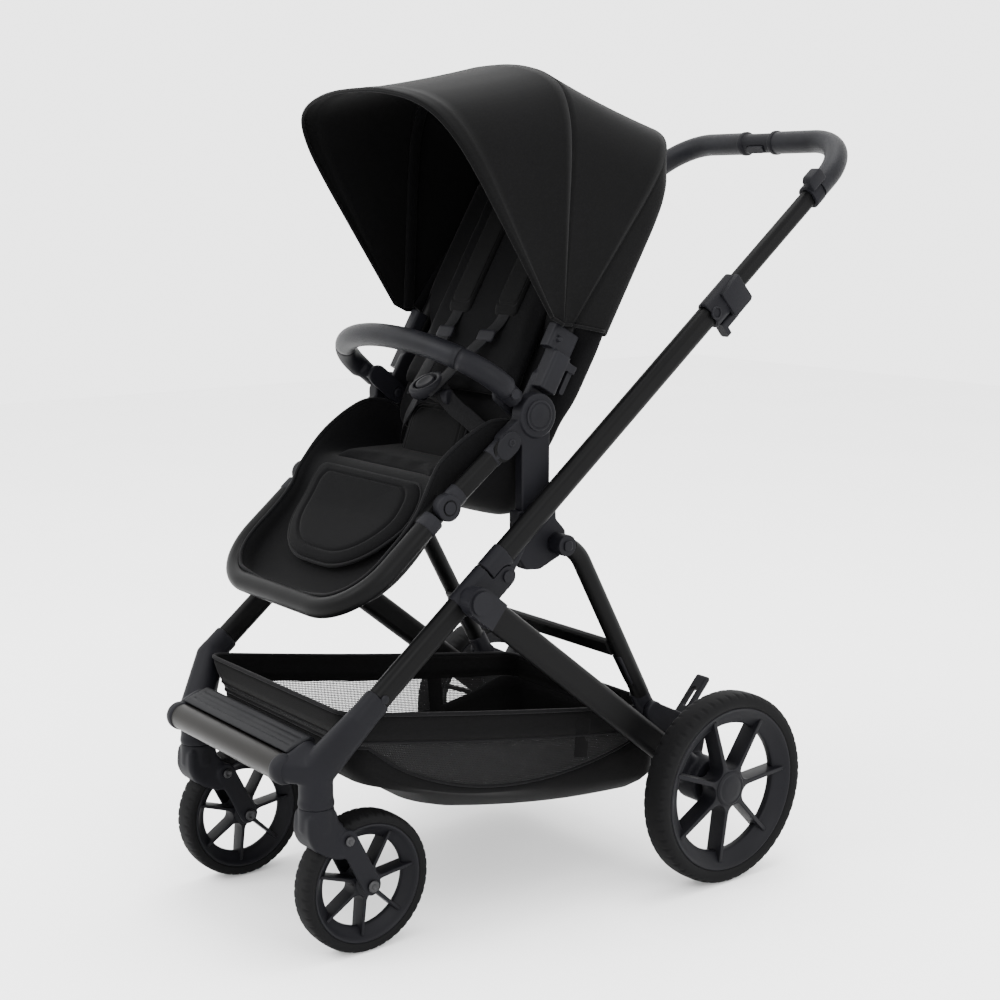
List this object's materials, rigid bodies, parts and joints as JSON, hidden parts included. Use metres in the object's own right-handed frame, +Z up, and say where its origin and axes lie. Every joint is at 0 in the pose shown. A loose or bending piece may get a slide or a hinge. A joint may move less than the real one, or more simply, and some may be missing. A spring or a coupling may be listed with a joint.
{
  "type": "baby stroller",
  "caption": "Folding baby stroller with swivelling front casters, reclining lift-off seat, folding canopy, bumper bar, harness, storage basket and telescopic push handle.",
  "frame": {"origin": "on the floor, under the middle of the whole object's box", "axes": "+Z up, front towards -Y, push handle towards +Y, symmetric about X = 0 apart from the brake pedal"},
  "size_m": [0.6058, 1.014, 1.1618],
  "materials": {
    "anodised": "matte black anodised",
    "plastic": "fine-grained moulded",
    "pale_plastic": "satin moulded",
    "rim": "satin moulded",
    "tyre": "matte foamed rubber",
    "steel": "black oxide",
    "fabric": "plain woven polyester",
    "leather": "grained imitation leather"
  },
  "bodies": {
    "push_frame": {"push_tubes": "anodised", "hinge_housings": "plastic", "slider_housings": "plastic", "seat_mounts": "plastic"},
    "handle": {"handle_tube": "anodised", "handle_grip": "leather", "handle_sleeve": "plastic"},
    "height_button": {"height_button": "pale_plastic"},
    "fold_trigger_left": {"fold_trigger_left": "pale_plastic"},
    "fold_trigger_right": {"fold_trigger_right": "pale_plastic"},
    "front_frame": {"front_tubes": "anodised", "tube_ends": "plastic", "corner_castings": "plastic", "front_bar": "plastic", "footrest": "pale_plastic", "pivot_pins": "steel", "basket": "fabric"},
    "caster_left": {"caster_fork_left": "plastic"},
    "caster_right": {"caster_fork_right": "plastic"},
    "front_wheel_left": {"front_tyre_left": "tyre", "front_rim_left": "rim"},
    "front_wheel_right": {"front_tyre_right": "tyre", "front_rim_right": "rim"},
    "rear_frame": {"rear_legs": "anodised", "leg_ends": "pale_plastic", "rear_feet": "plastic", "rear_axle": "steel"},
    "brake": {"brake_pedal": "plastic"},
    "rear_wheel_left": {"rear_tyre_left": "tyre", "rear_rim_left": "rim"},
    "rear_wheel_right": {"rear_tyre_right": "tyre", "rear_rim_right": "rim"},
    "stays": {"rear_stays": "anodised", "stay_ends": "plastic", "stay_crossbar": "anodised"},
    "seat": {"seat_hubs": "plastic", "seat_arms": "anodised", "seat_pad": "fabric", "crotch_strap": "fabric", "buckle": "plastic"},
    "buckle_button": {"buckle_button": "pale_plastic"},
    "backrest": {"backrest_frame": "anodised", "backrest_sleeves": "plastic", "backrest_pad": "fabric", "shoulder_straps": "fabric", "canopy_rear": "fabric", "canopy_rear_bow": "plastic"},
    "recline_levers": {"recline_levers": "pale_plastic"},
    "canopy_mid": {"canopy_mid_bow": "plastic"},
    "canopy_front": {"canopy_front": "fabric", "canopy_front_bow": "plastic"},
    "legrest": {"legrest_frame": "anodised", "legrest_pad": "fabric", "calf_pad": "fabric"},
    "legrest_button_left": {"legrest_button_left": "pale_plastic"},
    "legrest_button_right": {"legrest_button_right": "pale_plastic"},
    "bumper": {"bumper_arms": "plastic", "bumper_grip": "leather"},
    "bumper_button_left": {"bumper_button_left": "pale_plastic"},
    "bumper_button_right": {"bumper_button_right": "pale_plastic"}
  },
  "joints": [
    {"name": "fold", "type": "hinge", "parent": "push_frame", "child": "front_frame", "pos_m": [0, -0.18408, 0.48386], "axis": [1, 0, 0], "range_deg": [0, 84], "deforming": ["basket"]},
    {"name": "leg_fold", "type": "hinge", "parent": "front_frame", "child": "rear_frame", "pos_m": [0, -0.24532, 0.46074], "axis": [1, 0, 0], "range_deg": [-48.5, 0]},
    {"name": "stay_fold", "type": "hinge", "parent": "push_frame", "child": "stays", "pos_m": [0, -0.08, 0.512], "axis": [1, 0, 0], "range_deg": [0, 46.89]},
    {"name": "caster_left_swivel", "type": "hinge", "parent": "front_frame", "child": "caster_left", "pos_m": [0.164, -0.455, 0.2], "axis": [0, 0, 1], "continuous": true},
    {"name": "caster_right_swivel", "type": "hinge", "parent": "front_frame", "child": "caster_right", "pos_m": [-0.164, -0.455, 0.2], "axis": [0, 0, 1], "continuous": true},
    {"name": "front_wheel_left_spin", "type": "hinge", "parent": "caster_left", "child": "front_wheel_left", "pos_m": [0.164, -0.388, 0.095], "axis": [1, 0, 0], "continuous": true},
    {"name": "front_wheel_right_spin", "type": "hinge", "parent": "caster_right", "child": "front_wheel_right", "pos_m": [-0.164, -0.388, 0.095], "axis": [1, 0, 0], "continuous": true},
    {"name": "rear_wheel_left_spin", "type": "hinge", "parent": "rear_frame", "child": "rear_wheel_left", "pos_m": [0.2814, 0.156, 0.14], "axis": [1, 0, 0], "continuous": true},
    {"name": "rear_wheel_right_spin", "type": "hinge", "parent": "rear_frame", "child": "rear_wheel_right", "pos_m": [-0.2814, 0.156, 0.14], "axis": [1, 0, 0], "continuous": true},
    {"name": "brake_press", "type": "hinge", "parent": "rear_frame", "child": "brake", "pos_m": [0, 0.156, 0.14], "axis": [1, 0, 0], "range_deg": [-18, 0]},
    {"name": "handle_height", "type": "slide", "parent": "push_frame", "child": "handle", "axis": [0, 0.7727, 0.6347], "range_m": [-0.15, 0]},
    {"name": "height_button_press", "type": "slide", "parent": "handle", "child": "height_button", "axis": [0, 0.7727, 0.6347], "range_m": [0, 0.003], "stiffness_N_per_m": 600},
    {"name": "fold_trigger_left_pull", "type": "slide", "parent": "push_frame", "child": "fold_trigger_left", "axis": [0, 0.7727, 0.6347], "range_m": [0, 0.012], "stiffness_N_per_m": 600},
    {"name": "fold_trigger_right_pull", "type": "slide", "parent": "push_frame", "child": "fold_trigger_right", "axis": [0, 0.7727, 0.6347], "range_m": [0, 0.012], "stiffness_N_per_m": 600},
    {"name": "seat_lift", "type": "slide", "parent": "push_frame", "child": "seat", "axis": [0, 0, 1], "range_m": [0, 0.11]},
    {"name": "buckle_press", "type": "slide", "parent": "seat", "child": "buckle_button", "axis": [0, 0.5, -0.866], "range_m": [0, 0.0025], "stiffness_N_per_m": 600},
    {"name": "recline", "type": "hinge", "parent": "seat", "child": "backrest", "pos_m": [0, -0.112, 0.69], "axis": [1, 0, 0], "range_deg": [-35, 12]},
    {"name": "recline_lever_pull", "type": "hinge", "parent": "backrest", "child": "recline_levers", "pos_m": [0, -0.05209, 0.74778], "axis": [1, 0, 0], "range_deg": [0, 14], "stiffness_Nm_per_rad": 0.4},
    {"name": "canopy_mid_fold", "type": "hinge", "parent": "backrest", "child": "canopy_mid", "pos_m": [0, -0.072, 0.79], "axis": [1, 0, 0], "range_deg": [-21, 0]},
    {"name": "canopy_front_fold", "type": "hinge", "parent": "canopy_mid", "child": "canopy_front", "pos_m": [0, -0.072, 0.79], "axis": [1, 0, 0], "range_deg": [-21, 0]},
    {"name": "legrest_tilt", "type": "hinge", "parent": "seat", "child": "legrest", "pos_m": [0, -0.259, 0.58], "axis": [1, 0, 0], "range_deg": [-35, 40]},
    {"name": "legrest_button_left_press", "type": "slide", "parent": "seat", "child": "legrest_button_left", "axis": [-1, 0, 0], "range_m": [0, 0.003], "stiffness_N_per_m": 600},
    {"name": "legrest_button_right_press", "type": "slide", "parent": "seat", "child": "legrest_button_right", "axis": [1, 0, 0], "range_m": [0, 0.003], "stiffness_N_per_m": 600},
    {"name": "bumper_swing", "type": "hinge", "parent": "seat", "child": "bumper", "pos_m": [0, -0.112, 0.69], "axis": [1, 0, 0], "range_deg": [-25, 24]},
    {"name": "bumper_button_left_press", "type": "slide", "parent": "bumper", "child": "bumper_button_left", "axis": [-1, 0, 0], "range_m": [0, 0.002], "stiffness_N_per_m": 600},
    {"name": "bumper_button_right_press", "type": "slide", "parent": "bumper", "child": "bumper_button_right", "axis": [1, 0, 0], "range_m": [0, 0.002], "stiffness_N_per_m": 600}
  ],
  "couplings": [
    {"joint": "leg_fold", "follows": "fold", "ratio": -0.5655},
    {"joint": "stay_fold", "follows": "fold", "ratio": 0.5463},
    {"joint": "canopy_front_fold", "follows": "canopy_mid_fold", "ratio": 1}
  ]
}
